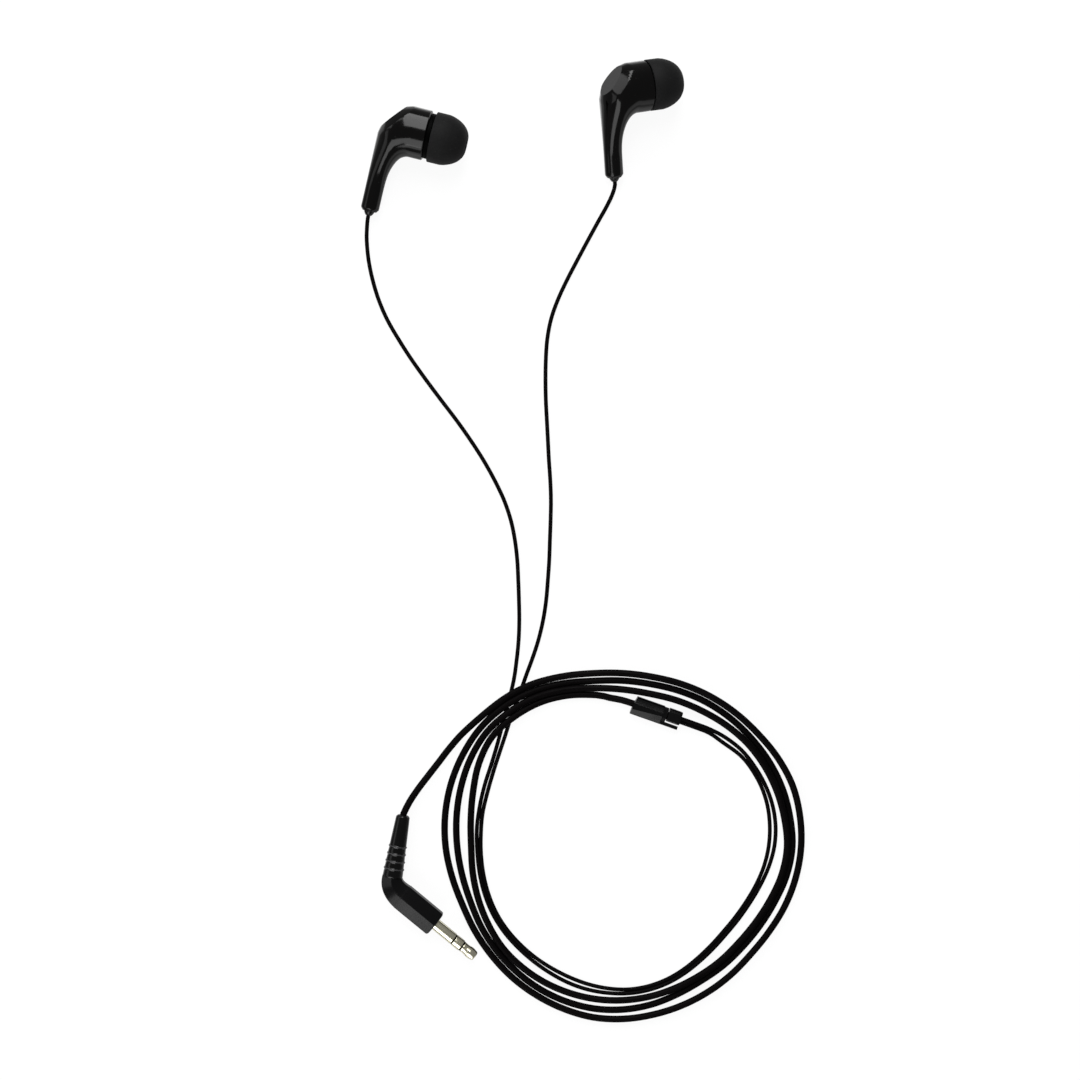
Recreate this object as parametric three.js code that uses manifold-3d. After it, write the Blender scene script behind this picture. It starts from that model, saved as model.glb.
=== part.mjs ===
// Wired in-ear earphones with a 3.5 mm plug, laid out on a flat surface with the cord wound in a coil.
// Millimetres, +Z up. The origin lies on the surface, under the middle of the pair of earbuds.
import * as THREE from "three";
import { mergeVertices } from "three/addons/utils/BufferGeometryUtils.js";
import Module from "manifold-3d";

const wasm = await Module();
wasm.setup();

const DEG = Math.PI / 180;

// ---- Driving dimensions ----
const EAR_CORD_R = 0.6;
const MAIN_CORD_R = 1.0;
const PLAY = 0.15; // between pieces that fit into each other
const JOINT_GAP = 0.3; // between a cord and what it meets
const CORD_STEPS = 32;
const TAIL_STEPS = 10;

// An earbud in its own frame: +X along the sound nozzle, the stem along -Y, and the sides towards +Z and -Z.
const BARREL_R = 7.3;
const BARREL_FRONT = 6.9;
const CAVITY_R = 6.1;
const CAVITY_BACK = 0.7;
const STEM_X = -4.65;
const STEM_R = 2.7;
const STEM_END = -25.2;
const CHANNEL_R = 1.6;
const FACET_ANGLE = 140.4 * DEG; // direction that the flat back facet faces
const FACET_DEPTH = 4.8; // from the nozzle axis to the facet
const SWING_Y = -26.1; // where the cord bends at the stem's end
const TIP_R = 7.35;
const TIP_BACK = 8.4;
const TIP_FRONT = 18.6;
const NOZZLE_R = 2.4;

// Where the two earbuds lie: the nozzle's heading, the roll that lets the stem reach the surface, and the
// nozzle's dip. The right tip sits a little askew on its nozzle, and further on.
const LEFT_BUD = { at: [-34.3, 1.8, 7.35], heading: -14, roll: 10.5, dip: 0, tipLift: 0, tipShift: 0 };
const RIGHT_BUD = { at: [29.5, 13.1, 10.4], heading: 4.5, roll: 22, dip: 18, tipLift: 3, tipShift: -0.9 };

// The coil of cord on the surface: a ring whose radius swells three times on the way round.
const COIL_AT = [28.7, -205.2];
const COIL_INNER_R = 41.7;
const COIL_OUTER_R = 53.3;
const COIL_HEIGHT = 5;
const COIL_SWELL = 1.6;
const COIL_SWELL_AT = 16.4;

// The Y-split in its own frame: +X along the joined ear cords, +Y away from the coil's centre.
const SPLIT_AT = [32.4, -165.7];
const SPLIT_TURN = -19.5;
const SPLIT_LENGTH = 9.2;
const SPLIT_HALF_WIDTH = 2.75;
const SPLIT_HEIGHT = 4.4;
const PRONG_LENGTH = 14.6;
const CORD_Y = 0.3;
const CORD_LEVEL = 1.9; // height of the cords through the Y-split and the slider
const SLIDER_START = 10.7;
const SLIDER_LENGTH = 4.0;
const SLIDER_WIDTH = 3.9;
const SLIDER_Y = 0.6;
const NOTCH_START = -5;
const NOTCH_END = 24.5;
const NOTCH_OUT = 3.1;

// The plug in its own frame: +X along the shaft, with the grip's end face at X = 0.
const PLUG_AT = [-25.4, -229.7, 3.9];
const PLUG_TURN = -39.5;
const GRIP_HALF = 3.9;
const GRIP_BACK = -12.8;
const ELBOW_CORNER = [-17.1, 0];
const RELIEF_LOW = [-18.55, 2.85];
const RELIEF_TOP = [-27.5, 18.6];
const SHAFT_R = 1.75;
const SHAFT_REAR = -5;
const SLEEVE_END = 6.8;
const RING_START = 7.2;
const RING_END = 9.9;
const TIP_START = 10.3;
const SHAFT_END = 15;

// Free stretches of cord, laid by hand: the ear cords run from each stem to the coil, the tail from the coil
// to the plug. A point is [x, y], and the cord lies on the surface unless a third number lifts its middle.
const LEFT_ROUTE = [
  [-45.3, -23.3, 2.3], [-45.6, -26.2, 1.6], [-45.7, -29.6, 0.9], [-45.2, -35.1], [-44, -41], [-42.2, -46.9],
  [-39.7, -52.7], [-36.3, -58.6], [-32.5, -64.5], [-28.3, -70.4], [-23.9, -76.3], [-19.4, -82.2],
  [-15.3, -88], [-11.5, -93.9], [-8.2, -99.8], [-5.4, -105.7], [-3.4, -111.6], [-2.2, -117.4],
  [-1.5, -123.3], [-1.2, -129.2], [-1, -135.1], [-0.9, -141], [-1.1, -146.9], [-1.7, -152.9], [-2.6, -159],
];
const RIGHT_ROUTE = [
  [27.2, -13.2, 1.4], [26.5, -15.8, 1.1], [24.9, -19.2, 0.7], [22, -24.4], [19, -29.9], [15.9, -35.7],
  [12.9, -41.5], [10.3, -47.2], [8.4, -52.7], [7.3, -58.6], [6.9, -64.5], [6.8, -70.4], [6.9, -76.3],
  [7.2, -82.2], [7.5, -88], [7.8, -93.9], [8.2, -99.8], [8.4, -105.7], [8.3, -111.6], [8.1, -117.4],
  [7.9, -123.3], [7.5, -129.2], [7, -135.1], [6.1, -141], [4.7, -146.9], [2.9, -152.4], [1.2, -157],
];
const TAIL_ROUTE = [
  [-18.2, -174.2, 2.2], [-21.1, -178.2, 2.1], [-24.5, -182.6, 2.1], [-27.7, -186.7, 2.3],
  [-30.6, -190.5, 2.7], [-33.0, -194.1, 3.3], [-34.7, -197.5, 3.9],
];

// ---- Materials ----
const gloss = new THREE.MeshStandardMaterial({ color: 0x17181a, roughness: 0.22, metalness: 0 });
const matte = new THREE.MeshStandardMaterial({ color: 0x151515, roughness: 0.6, metalness: 0 });
const silicone = new THREE.MeshStandardMaterial({ color: 0x202122, roughness: 0.55, metalness: 0 });
const jacket = new THREE.MeshStandardMaterial({ color: 0x141314, roughness: 0.38, metalness: 0 });
const gripPlastic = new THREE.MeshStandardMaterial({ color: 0x1c1d1e, roughness: 0.35, metalness: 0 });
const nickel = new THREE.MeshStandardMaterial({ color: 0xd9d5c8, roughness: 0.18, metalness: 1 });
const insulator = new THREE.MeshStandardMaterial({ color: 0x262420, roughness: 0.5, metalness: 0 });
const steel = new THREE.MeshStandardMaterial({ color: 0x9a9c9e, roughness: 0.35, metalness: 1 });
const copper = new THREE.MeshStandardMaterial({ color: 0xb5713c, roughness: 0.35, metalness: 1 });
const film = new THREE.MeshStandardMaterial({ color: 0xc9cdd0, roughness: 0.3, metalness: 0 });
const board = new THREE.MeshStandardMaterial({ color: 0x2f5a3a, roughness: 0.5, metalness: 0 });

// ---- Shape helpers ----

// A closed geometry as a solid that can be joined and cut.
function solidOf(geometry) {
  const bare = geometry.index ? geometry.toNonIndexed() : geometry.clone();
  bare.deleteAttribute("normal");
  bare.deleteAttribute("uv");
  const merged = mergeVertices(bare, 1e-4);
  const corners = merged.index.array;
  const kept = [];
  for (let i = 0; i < corners.length; i += 3) {
    const [a, b, c] = corners.slice(i, i + 3);
    if (a !== b && b !== c && c !== a) kept.push(a, b, c);
  }
  return new wasm.Manifold(
    new wasm.Mesh({
      numProp: 3,
      vertProperties: merged.attributes.position.array,
      triVerts: new Uint32Array(kept),
    }),
  );
}

// The geometry of a solid.
function geometryOf(solid) {
  const { vertProperties, triVerts } = solid.getMesh();
  const geometry = new THREE.BufferGeometry();
  geometry.setAttribute("position", new THREE.Float32BufferAttribute(vertProperties, 3));
  geometry.setIndex(Array.from(triVerts));
  geometry.computeVertexNormals();
  return geometry;
}

// A body turned about Y. The profile's points are [height, radius], upwards on the outer side.
function turnedUp(profile, segments = 20) {
  return new THREE.LatheGeometry(
    profile.map(([height, radius]) => new THREE.Vector2(radius, height)),
    segments,
  );
}

// A body turned about X. The profile's points are [x, radius], forwards on the outer side.
function turned(profile, segments = 20) {
  return turnedUp(profile, segments).rotateZ(-Math.PI / 2);
}

// A disc or rod about X.
function disc(from, to, radius, segments = 16) {
  return turned([[from, 0], [from, radius], [to, radius], [to, 0]], segments);
}

// A ring or tube about X.
function tube(from, to, inner, outer, segments = 16) {
  return turned([[from, inner], [from, outer], [to, outer], [to, inner], [from, inner]], segments);
}

// A body through rings of points, closed at both ends.
function loft(rings) {
  const count = rings[0].length;
  const points = rings.flat();
  const faces = [];
  for (let i = 0; i + 1 < rings.length; i++) {
    for (let j = 0; j < count; j++) {
      const next = (j + 1) % count;
      const [a, b] = [i * count + j, i * count + next];
      faces.push(a, a + count, b, b, a + count, b + count);
    }
  }
  const lastRing = (rings.length - 1) * count;
  for (let j = 1; j + 1 < count; j++) {
    faces.push(0, j, j + 1, lastRing, lastRing + j + 1, lastRing + j);
  }
  const geometry = new THREE.BufferGeometry().setFromPoints(points);
  geometry.setIndex(faces);
  geometry.computeVertexNormals();
  return geometry;
}

// A round cord along a smooth curve through the points.
function cord(points, radius, steps) {
  const sides = 8;
  const corners = Array.from({ length: sides }, (_, i) => {
    const angle = (i * 2 * Math.PI) / sides;
    return new THREE.Vector2(radius * Math.cos(angle), radius * Math.sin(angle));
  });
  const section = new THREE.Shape(corners);
  const path = new THREE.CatmullRomCurve3(points);
  return new THREE.ExtrudeGeometry(section, { steps, extrudePath: path });
}

// A block from its lowest to its highest corner.
function block(low, high) {
  const size = high.map((value, i) => value - low[i]);
  const middle = high.map((value, i) => (value + low[i]) / 2);
  return new THREE.BoxGeometry(...size).translate(...middle);
}

const earphones = new THREE.Group();

function add(parent, name, geometry, material) {
  const mesh = new THREE.Mesh(geometry, material);
  mesh.name = name;
  parent.add(mesh);
  return mesh;
}

// ---- Earbuds ----

// The housing's outline from the barrel's mouth, round the elbow and down the stem:
// [inner x, inner y, outer x, outer y, half width].
const HOUSING_STATIONS = [
  [BARREL_FRONT, -BARREL_R, BARREL_FRONT, BARREL_R, BARREL_R],
  [2.9, -BARREL_R, 2.9, BARREL_R, BARREL_R],
  [1.2, -7.9, 0.2, BARREL_R, BARREL_R],
  [0, -9.2, -4.5, 6.2, 7],
  [-0.8, -10.8, -7, 3, 6.2],
  [-1.4, -12.6, STEM_X - STEM_R, -2.5, 5],
  [-1.75, -14.5, STEM_X - STEM_R, -8.5, 3.9],
  [-1.9, -16.5, STEM_X - STEM_R, -14, 3.1],
  [STEM_X + STEM_R, -19, STEM_X - STEM_R, -18.5, STEM_R],
  [STEM_X + STEM_R, STEM_END + 1, STEM_X - STEM_R, STEM_END + 1, STEM_R],
  [STEM_X + 2.1, STEM_END, STEM_X - 2.1, STEM_END, 2.1],
];

function housing() {
  const segments = 24;
  const rings = HOUSING_STATIONS.map(([innerX, innerY, outerX, outerY, half]) => {
    const ring = [];
    for (let i = 0; i < segments; i++) {
      const angle = (i * 2 * Math.PI) / segments;
      const share = (1 + Math.cos(angle)) / 2;
      ring.push(
        new THREE.Vector3(
          innerX + (outerX - innerX) * share,
          innerY + (outerY - innerY) * share,
          half * Math.sin(angle),
        ),
      );
    }
    return ring;
  });
  const beyondFacet = block([FACET_DEPTH, -20, -20], [FACET_DEPTH + 20, 20, 20]).rotateZ(FACET_ANGLE);
  const chamber = disc(-4.6, CAVITY_BACK + 0.5, 2.6).translate(0, -3, 0);
  const channel = turnedUp([[STEM_END - 1, 0], [STEM_END - 1, CHANNEL_R], [-3, CHANNEL_R], [-3, 0]]);
  const hollow = solidOf(disc(CAVITY_BACK, BARREL_FRONT + 1, CAVITY_R))
    .add(solidOf(chamber))
    .add(solidOf(channel.translate(STEM_X, 0, 0)));
  return geometryOf(solidOf(loft(rings)).subtract(solidOf(beyondFacet)).subtract(hollow));
}

// The cover in the barrel's mouth, with the sound nozzle.
function frontCover() {
  const back = BARREL_FRONT + PLAY;
  return turned([
    [5.6, 5.2], [5.6, CAVITY_R - PLAY], [back, CAVITY_R - PLAY], [back, 6.6], [8, 6.6], [8.25, 6.3],
    [8.25, NOZZLE_R], [14.2, NOZZLE_R], [14.4, 2.6], [14.9, 2.6], [15.1, NOZZLE_R], [15.1, 1.8],
    [7.6, 1.8], [7.6, 5.2], [5.6, 5.2],
  ]);
}

// The silicone tip: a domed skirt turned back over an inner sleeve that grips the nozzle.
function earTip() {
  return turned([
    [TIP_BACK, 6.85], [TIP_BACK, TIP_R], [12.2, TIP_R], [13.8, 7], [15.7, 6.2], [17.2, 5.1], [18.2, 3.8],
    [TIP_FRONT, 2.8], [TIP_FRONT, 2.2], [16.2, 2.2], [16.2, 3], [9.6, 3], [9.6, 3.8], [15.6, 3.8],
    [16.1, 4.6], [15, 5.7], [13.5, 6.4], [12.1, 6.8], [TIP_BACK, 6.85],
  ]);
}

// A soft bushing in the stem's end, and the cord inside the stem with the knot that takes the pull.
function stemBushing() {
  return turnedUp([
    [SWING_Y - 0.4, 0.8], [SWING_Y - 0.4, 0.95], [SWING_Y + 0.1, 1.3], [STEM_END - PLAY, 1.6],
    [STEM_END - PLAY, 1.4], [-23, 1.4], [-23, 0.8], [SWING_Y - 0.4, 0.8],
  ]).translate(STEM_X, 0, 0);
}

function innerLead() {
  const lead = 0.55;
  const knot = 1.3;
  const start = SWING_Y + 0.3;
  return turnedUp(
    [
      [start, 0], [start, lead], [-22.1, lead], [-21.4, knot],
      [-20.6, knot], [-19.9, lead], [-5, lead], [-5, 0],
    ],
    12,
  ).translate(STEM_X, 0, 0);
}

function addDriver(bud, side) {
  add(bud, `${side}_terminal_board`, disc(0.9, 1.2, 2.2), board);
  add(
    bud,
    `${side}_yoke_cup`,
    turned([[1.3, 0], [1.3, 3.6], [3.9, 3.6], [3.9, 3.1], [1.9, 3.1], [1.9, 0]]),
    steel,
  );
  add(bud, `${side}_magnet`, disc(2, 3.1, 2.4), steel);
  add(bud, `${side}_pole_plate`, disc(3.2, 3.7, 2.4), steel);
  add(bud, `${side}_voice_coil`, tube(3, 4.3, 2.6, 2.9), copper);
  add(
    bud,
    `${side}_driver_frame`,
    turned([[3, 3.75], [3, 5.7], [5.3, 5.7], [5.3, 5.2], [3.6, 5.2], [3.6, 3.75], [3, 3.75]]),
    matte,
  );
  add(
    bud,
    `${side}_diaphragm`,
    turned([[5, 0], [4.5, 2.7], [4.9, 3.9], [4.6, 5.05], [4.75, 5.05], [5.05, 3.9], [4.65, 2.7], [5.15, 0]]),
    film,
  );
}

function addEarbud(side, { at, heading, roll, dip, tipLift, tipShift }) {
  const bud = new THREE.Group();
  bud.position.set(...at);
  bud.rotation.set(roll * DEG, dip * DEG, heading * DEG, "ZXY");
  earphones.add(bud);
  add(bud, `${side}_housing`, housing(), gloss);
  add(bud, `${side}_front_cover`, frontCover(), matte);
  add(bud, `${side}_nozzle_mesh`, disc(14.3, 14.5, 1.65), steel);
  addDriver(bud, side);
  add(bud, `${side}_stem_bushing`, stemBushing(), matte);
  add(bud, `${side}_inner_lead`, innerLead(), jacket);
  const tipPivot = 11.7;
  const tip = new THREE.Group();
  tip.position.x = tipPivot + tipShift;
  tip.rotation.y = -tipLift * DEG;
  bud.add(tip);
  add(tip, `${side}_ear_tip`, earTip().translate(-tipPivot, 0, 0), silicone);
}

addEarbud("left", LEFT_BUD);
addEarbud("right", RIGHT_BUD);

// ---- Cords ----

function routePoints(route, radius) {
  return route.map(([x, y, z = radius]) => new THREE.Vector3(x, y, z));
}

add(earphones, "left_cord", cord(routePoints(LEFT_ROUTE, EAR_CORD_R), EAR_CORD_R, CORD_STEPS), jacket);
add(earphones, "right_cord", cord(routePoints(RIGHT_ROUTE, EAR_CORD_R), EAR_CORD_R, CORD_STEPS), jacket);
add(earphones, "main_cord_tail", cord(routePoints(TAIL_ROUTE, MAIN_CORD_R), MAIN_CORD_R, TAIL_STEPS), jacket);

// The coil's turns as one flat-bottomed ring, with a notch on its inner side for the Y-split and the slider.
function coilRing() {
  const flat = 3;
  const low = COIL_HEIGHT * 0.4;
  const ring = turnedUp(
    [
      [0, COIL_INNER_R + flat], [0, COIL_OUTER_R - flat], [low, COIL_OUTER_R],
      [COIL_HEIGHT - 1, COIL_OUTER_R - 1.5], [COIL_HEIGHT, COIL_OUTER_R - 5],
      [COIL_HEIGHT, COIL_INNER_R + 4], [COIL_HEIGHT - 1, COIL_INNER_R + 1],
      [low, COIL_INNER_R], [0, COIL_INNER_R + flat],
    ],
    72,
  ).rotateX(Math.PI / 2);
  const places = ring.getAttribute("position");
  const place = new THREE.Vector3();
  for (let i = 0; i < places.count; i++) {
    place.fromBufferAttribute(places, i);
    const angle = Math.atan2(place.y, place.x);
    const swell = COIL_SWELL * Math.cos(3 * (angle - COIL_SWELL_AT * DEG));
    const share = 1 + swell / Math.hypot(place.x, place.y);
    places.setXY(i, place.x * share, place.y * share);
  }
  ring.translate(...COIL_AT, 0);
  const notch = block([NOTCH_START, -20, -1], [NOTCH_END, NOTCH_OUT, COIL_HEIGHT + 1])
    .rotateZ(SPLIT_TURN * DEG)
    .translate(...SPLIT_AT, 0);
  return geometryOf(solidOf(ring).subtract(solidOf(notch)));
}

add(earphones, "cord_coil", coilRing(), jacket);

// ---- Y-split and slider ----

const split = new THREE.Group();
split.position.set(...SPLIT_AT, 0);
split.rotation.z = SPLIT_TURN * DEG;
earphones.add(split);

// A closed prism along X from an outline of [y, z] points.
function prism(outline, from, to) {
  const shape = new THREE.Shape(outline.map(([y, z]) => new THREE.Vector2(y, z)));
  return new THREE.ExtrudeGeometry(shape, { depth: to - from, bevelEnabled: false })
    .rotateX(Math.PI / 2)
    .rotateZ(Math.PI / 2)
    .translate(from, 0, 0);
}

// The flat pair of ear cords side by side, with room around it for a bore.
function pairOutline(room) {
  const [across, up] = [2 * EAR_CORD_R + room, EAR_CORD_R + room];
  const [inner, outer] = [CORD_Y - across, CORD_Y + across];
  const [low, high] = [CORD_LEVEL - up, CORD_LEVEL + up];
  const bevel = 0.3;
  return [
    [inner, low + bevel], [inner + bevel, low], [outer - bevel, low], [outer, low + bevel],
    [outer, high - bevel], [outer - bevel, high], [inner + bevel, high], [inner, high - bevel],
  ];
}

function splitBody() {
  const outer = SPLIT_HALF_WIDTH;
  const top = SPLIT_HEIGHT;
  const body = prism(
    [
      [-1.7, 0], [outer - 0.6, 0], [outer, 0.8], [outer, top - 1.4], [outer - 1.2, top - 0.2],
      [0.4, top], [-0.4, top - 0.2], [-1.7, 2.6],
    ],
    0,
    SPLIT_LENGTH,
  );
  const prong = prism([[-outer, 0.2], [-1.65, 0.2], [-1.65, 2.4], [-outer, 2.2]], 0, PRONG_LENGTH);
  const neck = block([SPLIT_LENGTH - 1, -1.6, 0.5], [SLIDER_START - 0.2, 2.2, 3.3]);
  const bore = prism(pairOutline(JOINT_GAP), 5, SLIDER_START);
  return geometryOf(solidOf(body).add(solidOf(prong)).add(solidOf(neck)).subtract(solidOf(bore)));
}

function slider() {
  const [inner, outer] = [SLIDER_Y - SLIDER_WIDTH / 2, SLIDER_Y + SLIDER_WIDTH / 2];
  const top = 2 * CORD_LEVEL;
  const outside = prism(
    [
      [inner + 0.6, 0], [outer - 0.6, 0], [outer, 0.6], [outer, top - 0.8], [outer - 0.8, top],
      [inner + 0.8, top], [inner, top - 0.8], [inner, 0.6],
    ],
    SLIDER_START,
    SLIDER_START + SLIDER_LENGTH,
  );
  const bore = prism(pairOutline(PLAY), SLIDER_START - 1, SLIDER_START + SLIDER_LENGTH + 1);
  return geometryOf(solidOf(outside).subtract(solidOf(bore)));
}

function mainCordStub() {
  return disc(NOTCH_START + JOINT_GAP, -JOINT_GAP, MAIN_CORD_R, 8).translate(0, CORD_Y, CORD_LEVEL);
}

add(split, "y_split", splitBody(), gripPlastic);
add(split, "slider", slider(), gripPlastic);
add(split, "main_cord_at_split", mainCordStub(), jacket);
add(split, "ear_cord_pair", prism(pairOutline(0), 5 + JOINT_GAP, NOTCH_END - JOINT_GAP), jacket);

// ---- Plug ----

const plug = new THREE.Group();
plug.position.set(...PLUG_AT);
plug.rotation.z = PLUG_TURN * DEG;
earphones.add(plug);

// The grip's section, in shares of its half size: a ridge on top, sloping shoulders and a flat underside.
const GRIP_SECTION = [
  [0, 1], [-0.97, 0.36], [-1, -0.36], [-0.5, -1], [0.5, -1], [1, -0.36], [0.97, 0.36],
];

function gripRing(place, tangent, half) {
  const side = new THREE.Vector3(tangent.y, -tangent.x, 0);
  return GRIP_SECTION.map(([across, up]) =>
    place.clone().addScaledVector(side, across * half).add(new THREE.Vector3(0, 0, up * half)),
  );
}

function plugGrip() {
  const elbow = new THREE.QuadraticBezierCurve3(
    new THREE.Vector3(...RELIEF_LOW, 0),
    new THREE.Vector3(...ELBOW_CORNER, 0),
    new THREE.Vector3(GRIP_BACK, 0, 0),
  );
  const steps = 6;
  const narrow = 3;
  const rings = [];
  for (let i = 0; i <= steps; i++) {
    const share = i / steps;
    const half = narrow + (GRIP_HALF - narrow) * share;
    rings.push(gripRing(elbow.getPoint(share), elbow.getTangent(share), half));
  }
  const forward = new THREE.Vector3(1, 0, 0);
  rings.push(gripRing(new THREE.Vector3(0, 0, 0), forward, GRIP_HALF));
  const bore = disc(SHAFT_REAR - 1, 1, SHAFT_R + PLAY);
  return geometryOf(solidOf(loft(rings)).subtract(solidOf(bore)));
}

// The tapered strain relief, with grooves that let it bend.
function plugRelief() {
  const low = new THREE.Vector2(...RELIEF_LOW);
  const axis = new THREE.Vector2(...RELIEF_TOP).sub(low);
  const length = axis.length();
  const radiusAt = (height) => 2.95 - (0.95 * height) / length;
  const profile = [[JOINT_GAP, 0], [JOINT_GAP, radiusAt(JOINT_GAP)]];
  const [firstGroove, pitch, grooves] = [2.2, 2.2, 4];
  for (let i = 0; i < grooves; i++) {
    const groove = firstGroove + i * pitch;
    profile.push([groove, radiusAt(groove)], [groove + 0.2, radiusAt(groove) - 0.4]);
    profile.push([groove + 0.6, radiusAt(groove) - 0.4], [groove + 0.8, radiusAt(groove + 0.8)]);
  }
  profile.push([length - 0.6, radiusAt(length)], [length, radiusAt(length) - 0.5], [length, 0]);
  return turnedUp(profile)
    .rotateZ(axis.angle() - Math.PI / 2)
    .translate(low.x, low.y, 0);
}

// The three contacts, nested in each other with the insulators between them.
function addShaft() {
  add(
    plug,
    "plug_sleeve_contact",
    tube(SHAFT_REAR, SLEEVE_END, 1.35, SHAFT_R),
    nickel,
  );
  add(
    plug,
    "plug_outer_insulator",
    turned([
      [SHAFT_REAR, 1.15], [SHAFT_REAR, 1.3], [SLEEVE_END + 0.05, 1.3], [SLEEVE_END + 0.05, 1.72],
      [RING_START - 0.05, 1.72], [RING_START - 0.05, 1.15], [SHAFT_REAR, 1.15],
    ]),
    insulator,
  );
  add(
    plug,
    "plug_ring_contact",
    turned([
      [SHAFT_REAR, 0.85], [SHAFT_REAR, 1.1], [RING_START, 1.1], [RING_START, SHAFT_R], [RING_END, SHAFT_R],
      [RING_END, 0.85], [SHAFT_REAR, 0.85],
    ]),
    nickel,
  );
  add(
    plug,
    "plug_inner_insulator",
    turned([
      [SHAFT_REAR, 0.65], [SHAFT_REAR, 0.8], [RING_END + 0.05, 0.8], [RING_END + 0.05, 1.7],
      [TIP_START - 0.05, 1.7], [TIP_START - 0.05, 0.65], [SHAFT_REAR, 0.65],
    ]),
    insulator,
  );
  add(
    plug,
    "plug_tip_contact",
    turned([
      [SHAFT_REAR, 0], [SHAFT_REAR, 0.6], [TIP_START, 0.6], [TIP_START, 1.5], [11.1, 1.42], [12.9, 1.73],
      [13.9, 1.6], [14.7, 1.15], [SHAFT_END, 0.6], [SHAFT_END, 0],
    ]),
    nickel,
  );
}

add(plug, "plug_grip", plugGrip(), gripPlastic);
add(plug, "plug_strain_relief", plugRelief(), matte);
addShaft();

export default earphones;
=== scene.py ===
"""Wired earphones lying on a pale surface, seen from straight above.

Lengths are in millimetres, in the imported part's frame, and MM turns them into metres.
"""

import math

import bmesh
import bpy
import numpy as np
from mathutils import Matrix, Vector


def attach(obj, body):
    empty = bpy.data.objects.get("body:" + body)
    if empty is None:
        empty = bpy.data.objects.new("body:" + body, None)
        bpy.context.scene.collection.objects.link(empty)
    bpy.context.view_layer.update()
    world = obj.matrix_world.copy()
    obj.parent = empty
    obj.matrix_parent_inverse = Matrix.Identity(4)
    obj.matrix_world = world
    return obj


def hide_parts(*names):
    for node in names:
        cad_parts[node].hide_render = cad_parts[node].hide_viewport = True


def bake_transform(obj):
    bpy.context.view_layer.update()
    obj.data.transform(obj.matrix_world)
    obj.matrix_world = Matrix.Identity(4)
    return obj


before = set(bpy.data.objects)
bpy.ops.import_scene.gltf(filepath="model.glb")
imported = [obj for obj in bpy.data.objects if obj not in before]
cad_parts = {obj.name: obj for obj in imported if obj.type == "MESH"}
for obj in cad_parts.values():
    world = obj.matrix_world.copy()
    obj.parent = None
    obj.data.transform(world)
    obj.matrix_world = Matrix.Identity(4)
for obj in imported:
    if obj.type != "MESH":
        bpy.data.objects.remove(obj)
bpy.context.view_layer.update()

MM = 0.001

# ---- Driving dimensions ----
EAR_CORD_R = 0.6
MAIN_CORD_R = 1.0

BARREL_R = 7.3
BARREL_FRONT = 6.9
CAVITY_R = 6.1
CAVITY_BACK = 0.7
STEM_X = -4.65
STEM_R = 2.7
STEM_END = -25.2
CHANNEL_R = 1.6
CHANNEL_TOP = -4.5
FACET_ANGLE = math.radians(140.4)
FACET_DEPTH = 4.8
FACET_BAND = 2.0
BAND_REACH, BAND_SLOPE = 6.2, 0.7  # the slope fades out this far either side of the nozzle axis
FACET_INSET = 0.45
SWING_Y = -26.1
TIP_R = 7.35
TIP_BACK = 8.4
TIP_FRONT = 18.6
NOZZLE_R = 2.4

LEFT_BUD = {"at": (-34.3, 1.8, 7.35), "heading": -14, "roll": 10.5, "dip": 0, "tip_lift": 0, "tip_shift": 0}
RIGHT_BUD = {
    "at": (29.5, 13.1, 10.4), "heading": 4.5, "roll": 22, "dip": 18, "tip_lift": 3, "tip_shift": -0.9,
}
TIP_PIVOT = 11.7  # the point on the nozzle that a tip leans about

SPLIT_AT = (32.4, -165.7)
SPLIT_TURN = -19.5
PRONG_LENGTH = 14.6
CORD_Y = 0.3
CORD_LEVEL = 1.9
SLIDER_START = 10.7
SLIDER_LENGTH = 4.0

PLUG_AT = (-25.4, -229.7, 3.9)
PLUG_TURN = -39.5
GRIP_HALF = 3.9
GRIP_BACK = -12.8
ELBOW_CORNER = (-17.1, 0)
RELIEF_LOW = (-18.55, 2.85)
RELIEF_TOP = (-27.5, 18.6)
SHAFT_R = 1.75
SLEEVE_END = 6.8
RING_START = 7.25
RING_END = 9.85
TIP_START = 10.3
SHAFT_END = 15

LEFT_ROUTE = [
    (-45.3, -23.3, 2.3), (-45.6, -26.2, 1.6), (-45.7, -29.6, 0.9), (-45.2, -35.1), (-44, -41),
    (-42.2, -46.9), (-39.7, -52.7), (-36.3, -58.6), (-32.5, -64.5), (-28.3, -70.4),
    (-23.9, -76.3), (-19.4, -82.2),
    (-15.3, -88), (-11.5, -93.9), (-8.2, -99.8), (-5.4, -105.7), (-3.4, -111.6), (-2.2, -117.4),
    (-1.5, -123.3), (-1.2, -129.2), (-1, -135.1), (-0.9, -141), (-1.1, -146.9), (-1.7, -152.9),
    (-2.6, -159),
]
RIGHT_ROUTE = [
    (27.2, -13.2, 1.4), (26.5, -15.8, 1.1), (24.9, -19.2, 0.7), (22, -24.4), (19, -29.9), (15.9, -35.7),
    (12.9, -41.5), (10.3, -47.2), (8.4, -52.7), (7.3, -58.6), (6.9, -64.5), (6.8, -70.4), (6.9, -76.3),
    (7.2, -82.2), (7.5, -88), (7.8, -93.9), (8.2, -99.8), (8.4, -105.7), (8.3, -111.6), (8.1, -117.4),
    (7.9, -123.3), (7.5, -129.2), (7, -135.1), (6.1, -141), (4.7, -146.9), (2.9, -152.4), (1.2, -157),
]
TAIL_ROUTE = [
    (-16.3, -173.0, 2.2), (-21.1, -178.2, 2.1), (-24.5, -182.6, 2.1), (-27.7, -186.7, 2.3),
    (-30.6, -190.5, 2.7), (-33.0, -194.1, 3.3), (-34.7, -197.5, 3.9),
]

# ---- The coil's turns ----
COIL_CENTRE = (29.6, -207.45)
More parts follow.
